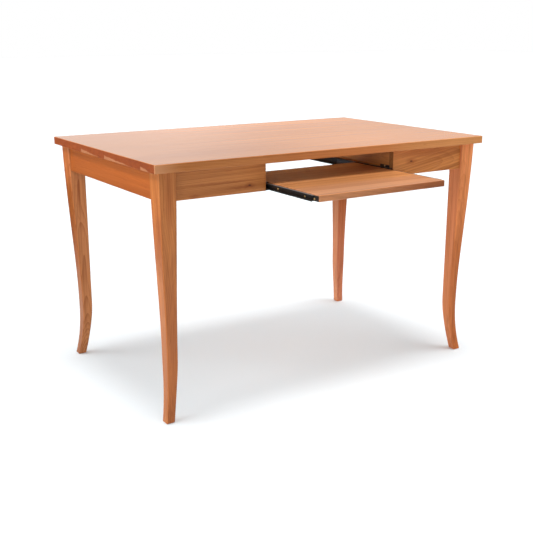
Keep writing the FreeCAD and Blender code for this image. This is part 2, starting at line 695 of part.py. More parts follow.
# Tray, runners and the screws between them
runner_face = f"{OPENING} - slide_thickness + slide_metal"
runner_offsets = ("runner_front_screw", "runner_second_screw", "runner_third_screw", "runner_back_screw")
runner_screw_length = "(slide_metal + screw_bite)"
runner_screw_height = f"{SLIDE_Z} - runner_screw_drop"
runner_places = [(f"{side}({runner_face})", f"{TRAY_FRONT} + {offset}", runner_screw_height,
                  towards(heading, 0, 0))
                 for side, heading in (("", 1), ("-", -1)) for offset in runner_offsets]
runner_screws = copies("runner_screws", pan_screw("runner_screw", runner_screw_length), runner_places)
runner_holes = copies("runner_holes", pan_screw("runner_hole", runner_screw_length, "screw_gap"), runner_places)
tray_runner_right = cut("tray_runner_right", make_runner("runner_blank"), [runner_holes])
tray_runner_left = mirror("tray_runner_left", tray_runner_right, X_AXIS)
keyboard_tray = cut("keyboard_tray", make_tray("tray_blank"), [runner_holes])

PIECES = [
    desktop, leg_front_left, leg_front_right, leg_back_left, leg_back_right,
    apron_left, apron_right, apron_back, apron_front_left, apron_front_right,
    partition_left, partition_right, glue_block_left, glue_block_right, block_screws,
    top_buttons, button_screws, slide_channel_left, slide_channel_right, channel_screws,
    ball_cage_left, ball_cage_right, bearing_balls_left, bearing_balls_right,
    keyboard_tray, tray_runner_left, tray_runner_right, runner_screws,
]

doc.recompute()
failed = [thing.Label for thing in doc.Objects if {"Invalid", "Error"} & set(thing.State)]
failed += [piece.Label for piece in PIECES if piece.Shape.isNull() or not piece.Shape.isValid()]
if failed:
    raise RuntimeError(f"failed objects: {failed}")
os.makedirs("parts", exist_ok=True)
for piece in PIECES:
    piece.Shape.exportStep(f"parts/{piece.Label}.step")
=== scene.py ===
import math

import bmesh
import bpy
from mathutils import Matrix, Vector


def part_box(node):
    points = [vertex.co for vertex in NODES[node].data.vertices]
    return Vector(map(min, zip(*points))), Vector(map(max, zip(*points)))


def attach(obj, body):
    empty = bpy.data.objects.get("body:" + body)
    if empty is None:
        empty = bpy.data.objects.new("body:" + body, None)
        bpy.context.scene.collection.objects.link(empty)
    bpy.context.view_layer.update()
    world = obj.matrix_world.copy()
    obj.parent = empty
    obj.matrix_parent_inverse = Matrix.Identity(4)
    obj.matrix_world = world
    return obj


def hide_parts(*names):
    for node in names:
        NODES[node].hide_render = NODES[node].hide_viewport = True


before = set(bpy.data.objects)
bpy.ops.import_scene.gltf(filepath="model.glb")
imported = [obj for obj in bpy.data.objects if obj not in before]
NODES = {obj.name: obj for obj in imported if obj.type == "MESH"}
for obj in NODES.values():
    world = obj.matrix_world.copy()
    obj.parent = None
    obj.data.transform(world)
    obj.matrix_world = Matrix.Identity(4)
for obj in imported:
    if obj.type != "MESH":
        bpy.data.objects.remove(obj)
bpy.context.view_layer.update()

bl_info = {
    "name": "Cherry Writing Desk",
    "version": (1, 0, 0),
    "blender": (4, 5, 0),
    "location": "3D View > Sidebar > Desk",
    "description": "Finishes a cherry writing desk with a pull-out keyboard tray",
    "category": "Object",
}

TOP_LOW, TOP_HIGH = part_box("desktop")
TRAY_LOW, TRAY_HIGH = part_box("keyboard_tray")

# Turns that lay a piece's grain along X, as the figure expects it
GRAIN_TURNS = {
    "X": (0.0, 0.0, 0.0),
    "Y": (0.0, 0.0, -math.pi / 2),
    "Z": (0.0, math.pi / 2, 0.0),
}

# Features per metre along the grain and across it, for each layer of the cherry's figure
WANDER_COUNT = (2.2, 8.0, 8.0)
STREAK_COUNT = (0.9, 34.0, 34.0)
LINE_COUNT = (1.3, 130.0, 130.0)
VEIN_COUNT = (1.6, 270.0, 270.0)
BLOTCH_COUNT = (1.6, 7.0, 7.0)
FIBRE_COUNT = (11.0, 620.0, 620.0)
FLECK_COUNT = (26.0, 380.0, 380.0)
RINGS_PER_METRE = 270.0

# How much each layer counts in the figure's tone
LINE_SHARE = 0.7
VEIN_SHARE = 0.6
STREAK_SHARE = 1.5
FIBRE_SHARE = 0.55
FLECK_SHARE = 0.45

# Growth rings: how far they wander and lean, how sharp their dark edge is and their mean darkness
WANDER_REACH = (0.0, 0.034, 0.034)
RING_LEAN = 0.03
RING_EDGE = 2.4
RING_MEAN = 0.30

# Levels of noise between which a gum fleck fades in, and the middle of a noise's range
FLECK_EDGE = (0.70, 0.78)
NOISE_MEAN = 0.5

# What fibres, end grain, rings and flecks do to the surface's roughness and height
FIBRE_GRIP = 0.22
END_GRIP = 0.6
RING_DIP = -0.25
FLECK_DIP = -0.6
BUMP_STRENGTH = 0.5

# How squarely a face must cut the grain to show end grain, face up to show a painted sheen, and face forward
# or left to take painted light and shade of its own
END_FACING = (0.72, 0.95)
UPWARD_FACING = (0.4, 0.9)
OUTWARD_FACING = (-0.9, -0.4)

# Boards of one panel: how far apart in the log they were cut, and their dark glue lines
BOARD_HOP = (1.71, 0.237, 0.053)
GLUE_LINE = (0.0002, 0.0007)
GLUE_SHADE = 0.45

# Sapwood: its wavy upper edge, its fade to a tip and its strength
SAP_WAVE_COUNT = (3.0, 60.0, 60.0)
SAP_WAVE = 0.007
SAP_EDGE = (-0.0008, 0.0016)
SAP_TIP = 0.45
SAP_SHADE = 0.55
# A painted highlight in the sapwood's colour: its fade along the front edge from the left corner, and its
# strength
FRONT_HIGHLIGHT_FADE = (-0.02, 0.10)
FRONT_HIGHLIGHT_SHADE = 0.95

# Front edges: their depth on the top and on the tray, and where the tone bends along the top's
TOP_EDGE_DEPTH = 0.002
TRAY_EDGE_DEPTH = 0.001
EDGE_BEND = 0.34

# Pin knots and streaks: their wavy outline, their reach in sizes, their depth in the wood and their shades
KNOT_WAVE_COUNT = (90.0, 90.0, 90.0)
KNOT_WAVE = (0.006, 0.006, 0.006)
KNOT_CORE = (0.55, 1.15)
KNOT_HALO = (0.8, 5.0)
KNOT_DEPTH = 0.02
KNOT_BLACK = (0.03, 0.012, 0.006)
KNOT_CORE_SHADE = 0.85
KNOT_HALO_SHADE = 0.40
STREAK_SHADE = 0.34

# Metal: blotches and grit per metre, and how the blotches change it
MOTTLE_COUNT = (90.0, 90.0, 90.0)
GRIT_COUNT = (1500.0, 1500.0, 1500.0)
MOTTLE_EDGE = (0.35, 0.65)
MOTTLE_DARK = (0.45, 0.45, 0.45)
MOTTLE_GRIP = 0.16
GRIT_DEPTH = 0.00005

# Distances within which points count as one, in CAD nodes and spun shapes, or lie at a screw's end
SAME_POINT = 1e-6
SAME_SPUN_POINT = 1e-7
END_SLACK = 1e-5

# Rounds of splitting that make a ball from an icosahedron's faces
BALL_ROUNDS = 3

# Screws: thread, and radius and height along each head from the middle of its upper face
THREAD_ROOT = 0.00135
THREAD_CREST = 0.00172
THREAD_PITCH = 0.0012
SCREW_POINT = 0.0045
SCREW_NECK = 0.0002
SCREW_STEPS = 20
SUNK_HEAD = ((0.0, 0.0), (0.0009, 0.0), (0.0018, 0.0), (0.0034, 0.0), (0.00345, -0.0002), (0.0017, -0.0019))
PAN_HEAD = ((0.0, 0.0), (0.0009, 0.0), (0.0018, -0.0001), (0.0027, -0.0004), (0.0034, -0.0011),
            (0.0036, -0.0018), (0.0036, -0.0022), (0.0017, -0.0022))

# Cross recess of a screw: its reach, the level above which it is cut, and its depth at the middle, along
# the arms and at their ends
CROSS_REACH = 0.0022
CROSS_INNER = 0.0012
CROSS_ARM = 0.9
CROSS_LEVEL = -0.0003
CROSS_DEPTHS = (0.0012, 0.0010, 0.0004)

# Lamps: softboxes and the place under the top that they face, and suns by their turn in degrees
SOFTBOX_AIM = Vector((0.0, 0.0, 0.45))
SOFTBOXES = {
    "High softbox": dict(place=(-2.3, -0.6, 2.75), size=0.55, power=43.0, tint=(1.0, 0.82, 0.62)),
    "Low softbox": dict(place=(-5.0, -1.4, 0.85), size=1.3, power=68.0, tint=(1.0, 0.98, 0.96)),
    "Right softbox": dict(place=(1.9, -1.5, 2.2), size=0.8, power=9.0, tint=(1.0, 0.95, 0.85)),
}
OVERHEAD_TURN = (0.0, 0.0, 0.0)
FLOOR_GLOWS = {
    "Left": ((0.0, -61.0, -14.0), ("leg_front_left", "leg_back_left")),
    "Right": ((0.0, 61.0, -40.0), ("leg_front_right", "leg_back_right")),
}

# Floor: half its width, its drop below the feet, and how it fades from the finish with distance
FLOOR_REACH = 30.0
FLOOR_DROP = 0.0005
FLOOR_FADE_RANGE = (0.9, 2.6)
FLOOR_FADE = (0.1, 0.95)

# Width of the camera's sensor in millimetres
SENSOR_WIDTH = 36.0

# Cosines of the angle off the backdrop's middle between which its three steps of brightness rise
BACKDROP_RISES = ((0.1, 0.6), (0.74, 0.86), (0.915, 0.965))


class DeskFinish(bpy.types.PropertyGroup):
    """Colours and gloss of the wood and metal."""

    pale_wood: bpy.props.FloatVectorProperty(
        name="Pale wood", description="Cherry between the darker streaks", subtype="COLOR", size=3,
        default=(0.66, 0.240, 0.066), min=0.0, max=1.0)
    deep_wood: bpy.props.FloatVectorProperty(
        name="Deep wood", description="Cherry in its darker streaks", subtype="COLOR", size=3,
        default=(0.40, 0.122, 0.028), min=0.0, max=1.0)
    end_wood: bpy.props.FloatVectorProperty(
        name="End grain", description="How much end grain darkens the wood", subtype="COLOR", size=3,
        default=(0.66, 0.33, 0.05), min=0.0, max=1.0)
    # Also the colour of the painted highlight at the left end of the top's front edge
    sapwood_and_highlight: bpy.props.FloatVectorProperty(
        name="Sapwood", description="Pale outer wood at the boards' lower corners", subtype="COLOR", size=3,
        default=(0.66, 0.30, 0.14), min=0.0, max=1.0)
    oil_roughness: bpy.props.FloatProperty(
        name="Oil roughness", description="Roughness of the satin oil finish", subtype="FACTOR",
        default=0.34, min=0.0, max=1.0)
    slide_black: bpy.props.FloatVectorProperty(
        name="Slide black", description="Black coating of the slides", subtype="COLOR", size=3,
        default=(0.013, 0.012, 0.012), min=0.0, max=1.0)
    # A painted reflection: grey that stands for the sky's sheen on the slides' upper faces
    painted_slide_sheen: bpy.props.FloatVectorProperty(
        name="Slide sheen", description="Grey of the slides' upper faces", subtype="COLOR", size=3,
        default=(0.10, 0.12, 0.14), min=0.0, max=1.0)
    cage_zinc: bpy.props.FloatVectorProperty(
        name="Cage zinc", description="Dark zinc of the ball cages", subtype="COLOR", size=3,
        default=(0.13, 0.14, 0.16), min=0.0, max=1.0)
    ball_steel: bpy.props.FloatVectorProperty(
        name="Ball steel", description="Bright steel of the bearing balls", subtype="COLOR", size=3,
        default=(0.62, 0.63, 0.65), min=0.0, max=1.0)
    screw_zinc: bpy.props.FloatVectorProperty(
        name="Screw zinc", description="Yellow zinc of the screws", subtype="COLOR", size=3,
        default=(0.70, 0.50, 0.25), min=0.0, max=1.0)


class DeskBoards(bpy.types.PropertyGroup):
    """Where boards are glued edge to edge."""

    top_joints: bpy.props.FloatVectorProperty(
        name="Top joints", description="Glue lines across the top, front to back", subtype="TRANSLATION",
        unit="LENGTH", size=4, default=(-0.2937, -0.0439, 0.1389, 0.262))
    tray_joints: bpy.props.FloatVectorProperty(
        name="Tray joints", description="Glue lines across the tray, back from its front edge",
        subtype="TRANSLATION", unit="LENGTH", size=3, default=(0.122, 0.245, 0.360))
    sap_depth: bpy.props.FloatProperty(
        name="Sapwood depth", description="Height of the sapwood at a joint", subtype="DISTANCE",
        unit="LENGTH", default=0.011)
    sap_run: bpy.props.FloatProperty(
        name="Sapwood run", description="How far the sapwood runs into its board", subtype="DISTANCE",
        unit="LENGTH", default=0.22)


class DeskStage(bpy.types.PropertyGroup):
    """Camera and light."""

    camera_place: bpy.props.FloatVectorProperty(
        name="Camera", description="Where the camera stands", subtype="TRANSLATION", unit="LENGTH", size=3,
        default=(-1.6220, -2.4933, 1.1132))
    camera_pitch: bpy.props.FloatProperty(
        name="Pitch", description="How far the camera looks down", subtype="ANGLE", default=0.2639)
    camera_yaw: bpy.props.FloatProperty(
        name="Yaw", description="The camera's turn about the upright", subtype="ANGLE", default=-0.57385)
    camera_lens: bpy.props.FloatProperty(
        name="Lens", description="Focal length in millimetres", default=59.75)
    room_light: bpy.props.FloatProperty(
        name="Room light", description="Light from the white studio all round", default=0.42)
    backdrop_way: bpy.props.FloatVectorProperty(
        name="Backdrop way", description="Direction in which the backdrop is brightest",
        subtype="DIRECTION", size=3, default=(0.208, 0.978, 0.0))
    mirror_low: bpy.props.FloatProperty(
        name="Dim side", description="How bright the studio looks in the finish away from the backdrop",
        default=0.2)
    mirror_wide: bpy.props.FloatProperty(
        name="Backdrop", description="How bright the backdrop looks in the finish", default=0.58)
    mirror_near: bpy.props.FloatProperty(
        name="Backdrop near its middle", description="How bright the backdrop looks round its middle",
        default=0.66)
    mirror_high: bpy.props.FloatProperty(
        name="Backdrop middle", description="How bright the backdrop's middle looks in the finish",
        default=0.92)
    overhead_light: bpy.props.FloatProperty(
        name="Overhead light", description="Strength of the light from above on the desk", default=2.5)
    overhead_spread: bpy.props.FloatProperty(
        name="Overhead spread", description="How broad the light from above is", subtype="ANGLE",
        default=math.radians(22.0))
    floor_light: bpy.props.FloatProperty(
        name="Floor light", description="Strength of the light from above on the floor", default=1.25)
    shadow_spread: bpy.props.FloatProperty(
        name="Shadow spread", description="How broad the light is that casts the shadow", subtype="ANGLE",
        default=math.radians(17.0))
    glow_light: bpy.props.FloatProperty(
        name="Floor glow", description="Strength of the low light along the floor", default=1.86)
    glow_spread: bpy.props.FloatProperty(
        name="Floor glow spread", description="How broad the low light along the floor is", subtype="ANGLE",
        default=math.radians(56.0))
    glow_tint: bpy.props.FloatVectorProperty(
        name="Floor glow tint", description="Cool tint of the low light along the floor", subtype="COLOR",
        size=3, default=(0.85, 0.95, 1.0), min=0.0, max=1.0)
    floor_tint: bpy.props.FloatVectorProperty(
        name="Floor", description="Pale floor", subtype="COLOR", size=3, default=(0.88, 0.91, 0.925),
        min=0.0, max=1.0)


def fill(tree, made, links):
    """Fills a node's sockets with values or links them to other sockets."""
    for socket, source in links.items():
        if isinstance(source, bpy.types.NodeSocket):
            tree.links.new(source, made.inputs[socket])
        else:
            made.inputs[socket].default_value = source


def node(tree, kind, links=None, **settings):
    """A shader node with its settings and filled sockets."""
    made = tree.nodes.new(f"ShaderNode{kind}")
    for name, value in settings.items():
        setattr(made, name, value)
    fill(tree, made, links or {})
    return made


def use_group(tree, name, links):
    """The outputs of a node group placed in a material."""
    made = tree.nodes.new("ShaderNodeGroup")
    made.node_tree = bpy.data.node_groups[name]
    fill(tree, made, links)
    return made.outputs


def maths(tree, operation, *values, clamp=False):
    return node(tree, "Math", dict(enumerate(values)), operation=operation, use_clamp=clamp).outputs[0]


def vectors(tree, operation, *values):
    made = node(tree, "VectorMath", dict(enumerate(values)), operation=operation)
    return made.outputs["Value" if operation == "LENGTH" else "Vector"]


def parted(tree, vector):
    """A vector's own X, Y and Z."""
    return node(tree, "SeparateXYZ", {0: vector}).outputs


def mixed(tree, factor, one, other, blend="MIX"):
    made = node(tree, "Mix", {0: factor, 6: one, 7: other}, data_type="RGBA", blend_type=blend)
    return made.outputs[2]


def stained(tree, colour, tone):
    """A colour multiplied by a tone."""
    return mixed(tree, 1.0, colour, tone, "MULTIPLY")


def ramped(tree, value, low, high, start=0.0, end=1.0):
    """A value eased from one level to another between two limits."""
    limits = {0: value, 1: low, 2: high, 3: start, 4: end}
    return node(tree, "MapRange", limits, interpolation_type="SMOOTHSTEP").outputs[0]


def noise(tree, vector, count, detail, roughness=0.5, output="Fac"):
    """Noise with its own count of features per metre along each axis."""
    spread = vectors(tree, "MULTIPLY", vector, count)
    sockets = {"Vector": spread, "Scale": 1.0, "Detail": detail, "Roughness": roughness}
    return node(tree, "TexNoise", sockets).outputs[output]


def centred(tree, value):
    """A noise as it differs from its mean."""
    return maths(tree, "SUBTRACT", value, NOISE_MEAN)


def waves(tree, vector, count, reach):
    """Shifts in all directions that change over the surface."""
    shift = noise(tree, vector, count, detail=2.0, output="Color")
    shift = vectors(tree, "SUBTRACT", shift, (NOISE_MEAN, NOISE_MEAN, NOISE_MEAN))
    return vectors(tree, "MULTIPLY", shift, reach)


def opaque(colour):
    return (*colour, 1.0)


def even(level):
    return (level, level, level)


def new_group(name, inputs, outputs):
    """An empty shader node group and its two ends."""
    group = bpy.data.node_groups.new(name, "ShaderNodeTree")
    for socket, (kind, value) in inputs.items():
        made = group.interface.new_socket(socket, in_out="INPUT", socket_type=f"NodeSocket{kind}")
        if value is not None:
            made.default_value = value
    for socket, kind in outputs.items():
        group.interface.new_socket(socket, in_out="OUTPUT", socket_type=f"NodeSocket{kind}")
    return group, group.nodes.new("NodeGroupInput").outputs, group.nodes.new("NodeGroupOutput").inputs


def make_cherry_figure():
    """Growth rings about a heart, streaks, fibres and gum flecks, with the grain along X."""
    group, given, out = new_group(
        "Cherry Figure",
        {"Vector": ("Vector", None), "Heart": ("Vector", None), "Pale": ("Color", None),
         "Deep": ("Color", None), "End Tint": ("Color", None), "End Grain": ("Float", 0.0),
         "Rings": ("Float", 0.35), "Streaks": ("Float", 1.0), "Contrast": ("Float", 1.0),
         "Roughness": ("Float", 0.34)},
        {"Colour": "Color", "Roughness": "Float", "Height": "Float"})
    place = given["Vector"]
    grown = vectors(group, "ADD", place, waves(group, place, WANDER_COUNT, WANDER_REACH))
    from_heart = vectors(group, "SUBTRACT", grown, given["Heart"])
    radius = vectors(group, "LENGTH", vectors(group, "MULTIPLY", from_heart, (0.0, 1.0, 1.0)))
    leaned = maths(group, "MULTIPLY_ADD", parted(group, place)["X"], RING_LEAN, radius)
    phase = maths(group, "MULTIPLY", leaned, RINGS_PER_METRE)
    ring = maths(group, "POWER", maths(group, "FRACT", phase), RING_EDGE)
    streak = noise(group, place, STREAK_COUNT, detail=4.0, roughness=0.6)
    line = noise(group, place, LINE_COUNT, detail=2.0, roughness=0.55)
    vein = noise(group, place, VEIN_COUNT, detail=1.0)
    blotch = noise(group, place, BLOTCH_COUNT, detail=2.0)
    fibre = noise(group, place, FIBRE_COUNT, detail=3.0, roughness=0.65)
    fleck = ramped(group, noise(group, place, FLECK_COUNT, detail=1.0), *FLECK_EDGE)

    tone = maths(group, "MULTIPLY_ADD", centred(group, line), LINE_SHARE, centred(group, streak))
    tone = maths(group, "MULTIPLY_ADD", centred(group, vein), VEIN_SHARE, tone)
    tone = maths(group, "MULTIPLY", tone, given["Streaks"])
    tone = maths(group, "MULTIPLY_ADD", tone, STREAK_SHARE, centred(group, blotch))
    pale_ring = maths(group, "SUBTRACT", RING_MEAN, ring)
    tone = maths(group, "MULTIPLY_ADD", pale_ring, given["Rings"], tone)
    tone = maths(group, "MULTIPLY_ADD", centred(group, fibre), FIBRE_SHARE, tone)
    tone = maths(group, "MULTIPLY_ADD", tone, given["Contrast"], NOISE_MEAN, clamp=True)
    colour = mixed(group, tone, given["Deep"], given["Pale"])
    fleck_shade = maths(group, "MULTIPLY", fleck, FLECK_SHARE)
    colour = mixed(group, fleck_shade, colour, given["Deep"], "MULTIPLY")
    colour = mixed(group, given["End Grain"], colour, given["End Tint"], "MULTIPLY")
    group.links.new(colour, out["Colour"])

    smooth = maths(group, "SUBTRACT", NOISE_MEAN, fibre)
    grip = maths(group, "MULTIPLY_ADD", smooth, FIBRE_GRIP, given["Roughness"])
    grip = maths(group, "MULTIPLY_ADD", given["End Grain"], END_GRIP, grip)
    group.links.new(grip, out["Roughness"])
    height = maths(group, "MULTIPLY_ADD", ring, RING_DIP, fibre)
    group.links.new(maths(group, "MULTIPLY_ADD", fleck, FLECK_DIP, height), out["Height"])


def make_sapwood():
    """Pale wood at a board's lower corner, running from a joint towards the front."""
    group, given, out = new_group(
        "Sapwood Corner",
        {"Vector": ("Vector", None), "Joint": ("Float", 0.0), "Run": ("Float", 0.1),
         "Depth": ("Float", 0.01), "Level": ("Float", 0.0)},
        {"Mask": "Float"})
    spread = parted(group, given["Vector"])
    wave = centred(group, noise(group, given["Vector"], SAP_WAVE_COUNT, detail=3.0))
    inward = maths(group, "DIVIDE", maths(group, "SUBTRACT", given["Joint"], spread["Y"]), given["Run"])
    beyond = maths(group, "GREATER_THAN", inward, 0.0)
    fade = maths(group, "SUBTRACT", 1.0, inward, clamp=True)
    reach = maths(group, "MULTIPLY", given["Depth"], fade)
    above = maths(group, "SUBTRACT", spread["Z"], given["Level"])
    above = maths(group, "MULTIPLY_ADD", wave, SAP_WAVE, above)
    edge = maths(group, "SUBTRACT", reach, above)
    mask = maths(group, "MULTIPLY", ramped(group, edge, *SAP_EDGE), beyond)
    group.links.new(maths(group, "MULTIPLY", mask, ramped(group, fade, 0.0, SAP_TIP)), out["Mask"])


def make_knot():
    """A small dark pin knot drawn out along the grain."""
    group, given, out = new_group(
        "Pin Knot",
        {"Vector": ("Vector", None), "Centre": ("Vector", None), "Size": ("Vector", (0.01, 0.01, 0.01))},
        {"Core": "Float", "Halo": "Float"})
    offset = vectors(group, "SUBTRACT", given["Vector"], given["Centre"])
    offset = vectors(group, "ADD", offset, waves(group, given["Vector"], KNOT_WAVE_COUNT, KNOT_WAVE))
    span = vectors(group, "LENGTH", vectors(group, "DIVIDE", offset, given["Size"]))
    group.links.new(ramped(group, span, *KNOT_CORE, 1.0, 0.0), out["Core"])
    group.links.new(ramped(group, span, *KNOT_HALO, 1.0, 0.0), out["Halo"])


def make_mottle():
    """Faint mottling for coated and plated metal."""
    group, given, out = new_group(
        "Metal Mottle",
        {"Vector": ("Vector", None), "Colour": ("Color", None), "Roughness": ("Float", 0.4),
         "Depth": ("Float", 0.3)},
        {"Colour": "Color", "Roughness": "Float", "Height": "Float"})
    coarse = noise(group, given["Vector"], MOTTLE_COUNT, detail=4.0)
    fine = noise(group, given["Vector"], GRIT_COUNT, detail=2.0)
    shade = maths(group, "MULTIPLY", ramped(group, coarse, *MOTTLE_EDGE), given["Depth"])
    darker = stained(group, given["Colour"], opaque(MOTTLE_DARK))
    group.links.new(mixed(group, shade, given["Colour"], darker), out["Colour"])
    group.links.new(maths(group, "MULTIPLY_ADD", coarse, MOTTLE_GRIP, given["Roughness"]), out["Roughness"])
    group.links.new(fine, out["Height"])


def new_material(name):
    """A material with only its shader and output, and the piece's own coordinates."""
    material = bpy.data.materials.new(name)
    material.use_nodes = True
    tree = material.node_tree
    shader = tree.nodes["Principled BSDF"]
    where = tree.nodes.new("ShaderNodeTexCoord").outputs
    return material, tree, shader, where


def finish_shader(tree, shader, colour, roughness, height, depth):
    tree.links.new(colour, shader.inputs["Base Color"])
    tree.links.new(roughness, shader.inputs["Roughness"])
    bump = node(tree, "Bump", {"Height": height, "Strength": BUMP_STRENGTH, "Distance": depth})
    tree.links.new(bump.outputs["Normal"], shader.inputs["Normal"])


def cherry(name, grain, shift, heart, tint=(1.0, 1.0, 1.0), boards=(), rings=0.35, streaks=1.0,
           contrast=1.0, gloss=0.3, rubbed=0.0, tilt=0.0, grain_depth=0.00015, end_tint=None, extras=()):
    """Oiled cherry with its grain along one axis, cut from its own place in the log.

    Boards are given as pairs of the joint where a board starts, across the grain, and its own tint.
    """
    wood = bpy.context.scene.desk_finish
    material, tree, shader, where = new_material(name)
    turn = Vector(GRAIN_TURNS[grain]) + Vector((0.0, tilt, 0.0))
    laid = node(tree, "Mapping", {"Vector": where["Object"], "Rotation": turn}).outputs[0]
    facing = node(tree, "Mapping", {"Vector": where["Normal"], "Rotation": turn}).outputs[0]
    endwise = maths(tree, "ABSOLUTE", parted(tree, facing)["X"])
    cut = vectors(tree, "ADD", laid, shift)
    stain = opaque(tint)
    across = parted(tree, laid)["Y"]
    for joint, board_tint in boards:
        past = maths(tree, "GREATER_THAN", across, joint)
        hop = node(tree, "VectorMath", {0: BOARD_HOP, "Scale": past}, operation="SCALE").outputs["Vector"]
        cut = vectors(tree, "ADD", cut, hop)
        stain = mixed(tree, past, stain, opaque(board_tint))
    figure = use_group(tree, "Cherry Figure", {
        "Vector": cut, "Heart": heart, "Pale": opaque(wood.pale_wood), "Deep": opaque(wood.deep_wood),
        "End Tint": opaque(end_tint or wood.end_wood), "End Grain": ramped(tree, endwise, *END_FACING),
        "Rings": rings, "Streaks": streaks, "Contrast": contrast,
        "Roughness": wood.oil_roughness - rubbed})
    colour = stained(tree, figure["Colour"], stain)
    for joint, _ in boards:
        off_joint = maths(tree, "ABSOLUTE", maths(tree, "SUBTRACT", across, joint))
        glue = ramped(tree, off_joint, *GLUE_LINE, GLUE_SHADE, 0.0)
        colour = mixed(tree, glue, colour, opaque(wood.deep_wood), "MULTIPLY")
    for extra in extras:
        colour = extra(tree, where["Object"], colour)
    shader.inputs["Specular IOR Level"].default_value = gloss
    finish_shader(tree, shader, colour, figure["Roughness"], figure["Height"], grain_depth)
    return material


def metal(name, colour, roughness, metallic, depth, sheen=None, sheen_level=0.0):
    """Coated or plated metal, with an optional painted sheen, a paler tone where it faces up above a level.
    """
    material, tree, shader, where = new_material(name)
    mottle = use_group(tree, "Metal Mottle", {
        "Vector": where["Object"], "Colour": opaque(colour), "Roughness": roughness, "Depth": depth})
    tone = mottle["Colour"]
    # Painted sheen on faces that look up above the level
    if sheen:
        upward = ramped(tree, parted(tree, where["Normal"])["Z"], *UPWARD_FACING)
        high = maths(tree, "GREATER_THAN", parted(tree, where["Object"])["Z"], sheen_level)
        tone = mixed(tree, maths(tree, "MULTIPLY", upward, high), tone, opaque(sheen))
    shader.inputs["Metallic"].default_value = metallic
    finish_shader(tree, shader, tone, mottle["Roughness"], mottle["Height"], GRIT_DEPTH)
    return material


def wear(material, *names):
    """Gives CAD nodes a material."""
    for name in names:
        slots = NODES[name].data.materials
        slots.clear()
        slots.append(material)


def sapwood_corners(tree, place, colour):
    """The pale corners that show at the left end of the top."""
    wood = bpy.context.scene.desk_finish
    boards = bpy.context.scene.desk_boards
    run_shares = (0.3, 1.0, 0.75)
    for joint, share in zip(boards.top_joints, run_shares):
        corner = use_group(tree, "Sapwood Corner", {
            "Vector": place, "Joint": joint, "Run": boards.sap_run * share, "Depth": boards.sap_depth,
            "Level": TOP_LOW.z})
        strength = maths(tree, "MULTIPLY", corner["Mask"], SAP_SHADE)
        colour = mixed(tree, strength, colour, opaque(wood.sapwood_and_highlight))
    return colour


def front_edge(tree, place, colour):
    """The front edge's darker tone, with a painted highlight in sapwood colour fading out from the left
    corner.
    """
    spread = parted(tree, place)
    front = maths(tree, "LESS_THAN", spread["Y"], TOP_LOW.y + TOP_EDGE_DEPTH)
    bend = TOP_LOW.x + EDGE_BEND
    left_tone, bend_tone, right_tone = (1.06, 1.03, 1.22), (0.915, 0.88, 1.14), (0.91, 0.97, 1.33)
    to_bend = ramped(tree, spread["X"], TOP_LOW.x, bend)
    past_bend = ramped(tree, spread["X"], bend, TOP_HIGH.x)
    tone = mixed(tree, to_bend, opaque(left_tone), opaque(bend_tone))
    tone = mixed(tree, past_bend, tone, opaque(right_tone))
    colour = mixed(tree, front, colour, stained(tree, colour, tone))
    # Painted highlight: sapwood colour that fades out along the front edge from the left corner
    start, end = (TOP_LOW.x + reach for reach in FRONT_HIGHLIGHT_FADE)
    fade = ramped(tree, spread["X"], start, end, FRONT_HIGHLIGHT_SHADE, 0.0)
    sapwood_and_highlight = opaque(bpy.context.scene.desk_finish.sapwood_and_highlight)
    return mixed(tree, maths(tree, "MULTIPLY", front, fade), colour, sapwood_and_highlight)


def tray_edge(tree, place, colour):
    """The warmer front edge of the tray, with painted light and shade that darken it to the right."""
    spread = parted(tree, place)
    front = maths(tree, "LESS_THAN", spread["Y"], TRAY_LOW.y + TRAY_EDGE_DEPTH)
    left_tone, right_tone = (1.43, 1.22, 0.92), (0.60, 0.33, 0.10)
    along = ramped(tree, spread["X"], TRAY_LOW.x, TRAY_HIGH.x)
    tone = mixed(tree, along, opaque(left_tone), opaque(right_tone))
    return mixed(tree, front, colour, stained(tree, colour, tone))


def painted_face_light(front, side, low=0.25, high=0.62):
    """A function that paints light and shade on a leg's front and left faces.

    Each face has one painted tone below the low height and another above the high one.
    """
    def add(tree, place, colour):
        facing = parted(tree, node(tree, "TexCoord").outputs["Normal"])
        height = parted(tree, place)["Z"]
        for axis, (below, above) in (("Y", front), ("X", side)):
            share = ramped(tree, facing[axis], *OUTWARD_FACING, 1.0, 0.0)
            tone = mixed(tree, ramped(tree, height, low, high), opaque(below), opaque(above))
            colour = mixed(tree, share, colour, stained(tree, colour, tone))
        return colour
    return add


def graded(axis, low, high, start, end):
    """A function that makes a material darker or lighter from one place on an axis to another."""
    def add(tree, place, colour):
        return stained(tree, colour, ramped(tree, parted(tree, place)[axis], low, high, start, end))
    return add


def marks(name, knots=(), streaks=()):
    """A function that adds dark knots and soft dark streaks to the front face of a piece.

    Each is given by its distance from the piece's left end, its height above the lower end, and its own
    width and height.
    """
    corner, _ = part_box(name)

    def spot(tree, place, across, up, width, height):
        centre = corner + Vector((across, 0.0, up))
        size = (width, KNOT_DEPTH, height)
        return use_group(tree, "Pin Knot", {"Vector": place, "Centre": centre, "Size": size})

    def add(tree, place, colour):
        deep = opaque(bpy.context.scene.desk_finish.deep_wood)
        for streak in streaks:
            halo = maths(tree, "MULTIPLY", spot(tree, place, *streak)["Halo"], STREAK_SHADE)
            colour = mixed(tree, halo, colour, deep, "MULTIPLY")
        for knot in knots:
            shape = spot(tree, place, *knot)
            halo = maths(tree, "MULTIPLY", shape["Halo"], KNOT_HALO_SHADE)
            colour = mixed(tree, halo, colour, deep, "MULTIPLY")
            core = maths(tree, "MULTIPLY", shape["Core"], KNOT_CORE_SHADE)
            colour = mixed(tree, core, colour, opaque(KNOT_BLACK))
        return colour
    return add


